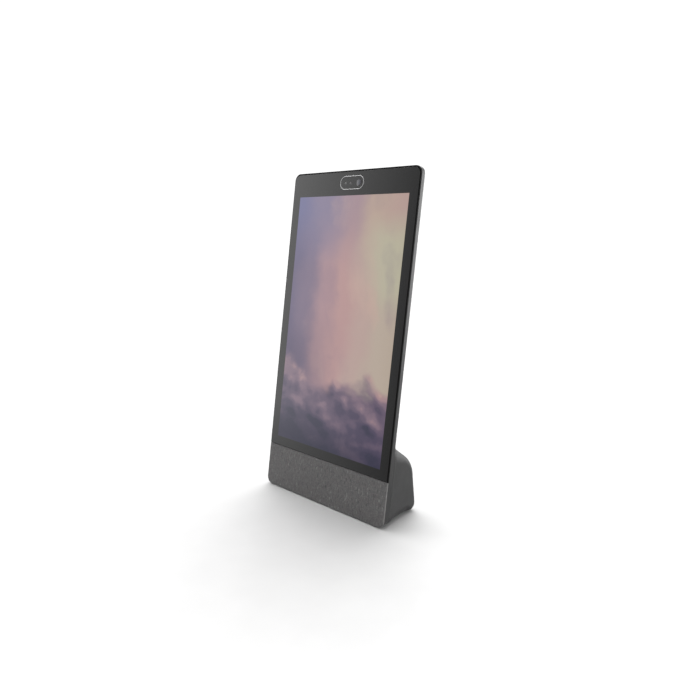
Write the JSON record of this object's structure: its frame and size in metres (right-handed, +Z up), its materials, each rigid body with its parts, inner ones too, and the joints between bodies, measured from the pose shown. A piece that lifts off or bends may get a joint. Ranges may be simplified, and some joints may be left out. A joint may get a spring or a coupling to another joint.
{
  "type": "desk video phone",
  "caption": "Portrait touch-screen desk video phone: a leaning slab with a camera window and cloth-covered speaker chin on a wedge foot with a rear connector bay.",
  "frame": {"origin": "on the table, under the middle of the device's width and depth", "axes": "+X to the right seen from the front, +Y to the back, +Z up"},
  "size_m": [0.2228, 0.0782, 0.4468],
  "materials": {
    "grey_housing": "fine moulded texture, low sheen",
    "black_plastic": "satin black",
    "front_glass": "polished, printed black behind",
    "display": null,
    "melange_cloth": "fine plain-weave melange cloth",
    "satin_trim": "satin anodised",
    "lens_glass": "coated lens",
    "light_pipe": "frosted",
    "aluminium": "rolled sheet",
    "steel": "zinc plated",
    "ballast_steel": "phosphated plate",
    "circuit_board": "green solder mask",
    "copper_flex": "flexible printed antenna",
    "speaker_cone": "pressed pulp cone",
    "ferrite": "sintered ferrite",
    "rubber_pad": "matt silicone rubber",
    "flat_cable": "flat flexible cable"
  },
  "bodies": {
    "root": {"cover_glass": "front_glass", "front_frame": "black_plastic", "lcd_panel": "display", "heat_spreader": "aluminium", "main_board": "circuit_board", "processor_shield": "steel", "rear_cover": "grey_housing", "key_board": "circuit_board", "camera_ring": "satin_trim", "camera_window": "front_glass", "camera_lens": "lens_glass", "presence_sensor": "lens_glass", "status_light_pipe": "light_pipe", "camera_barrel": "black_plastic", "camera_module": "black_plastic", "camera_board": "circuit_board", "microphone_board_left": "circuit_board", "wifi_antenna_left": "copper_flex", "microphone_board_right": "circuit_board", "wifi_antenna_right": "copper_flex", "grille_carrier": "black_plastic", "grille_fabric": "melange_cloth", "speaker_box": "black_plastic", "speaker_left_basket": "steel", "speaker_left_cone": "speaker_cone", "speaker_left_magnet": "ferrite", "speaker_right_basket": "steel", "speaker_right_cone": "speaker_cone", "speaker_right_magnet": "ferrite", "foot_housing": "grey_housing", "base_plate": "black_plastic", "foot_pad_front_left": "rubber_pad", "foot_pad_front_right": "rubber_pad", "foot_pad_rear_left": "rubber_pad", "foot_pad_rear_right": "rubber_pad", "base_screw_front_left": "steel", "base_screw_front_right": "steel", "base_screw_rear_left": "steel", "base_screw_rear_right": "steel", "ballast_plate": "ballast_steel", "stand_bracket": "steel", "bracket_screw_1": "steel", "bracket_screw_2": "steel", "bracket_screw_3": "steel", "bracket_screw_4": "steel", "port_tray": "black_plastic", "ethernet_jack": "steel", "usb_c_port": "steel", "power_inlet": "black_plastic", "connector_board": "circuit_board", "lock_plate": "steel", "main_flat_cable": "flat_cable", "camera_flat_cable": "flat_cable", "key_flat_cable": "flat_cable"},
    "power_button": {"power_button": "grey_housing"},
    "volume_up_button": {"volume_up_button": "grey_housing"},
    "volume_down_button": {"volume_down_button": "grey_housing"},
    "cable_cover": {"cable_cover": "grey_housing"}
  },
  "joints": [
    {"name": "power_key_press", "type": "slide", "parent": "root", "child": "power_button", "axis": [1, 0, 0], "range_m": [0, 0.0008], "stiffness_N_per_m": 600, "springref_m": -0.001},
    {"name": "volume_up_key_press", "type": "slide", "parent": "root", "child": "volume_up_button", "axis": [1, 0, 0], "range_m": [0, 0.0008], "stiffness_N_per_m": 600, "springref_m": -0.001},
    {"name": "volume_down_key_press", "type": "slide", "parent": "root", "child": "volume_down_button", "axis": [1, 0, 0], "range_m": [0, 0.0008], "stiffness_N_per_m": 600, "springref_m": -0.001},
    {"name": "cable_cover_pull", "type": "slide", "parent": "root", "child": "cable_cover", "axis": [0, 1, 0], "range_m": [0, 0.055]}
  ]
}
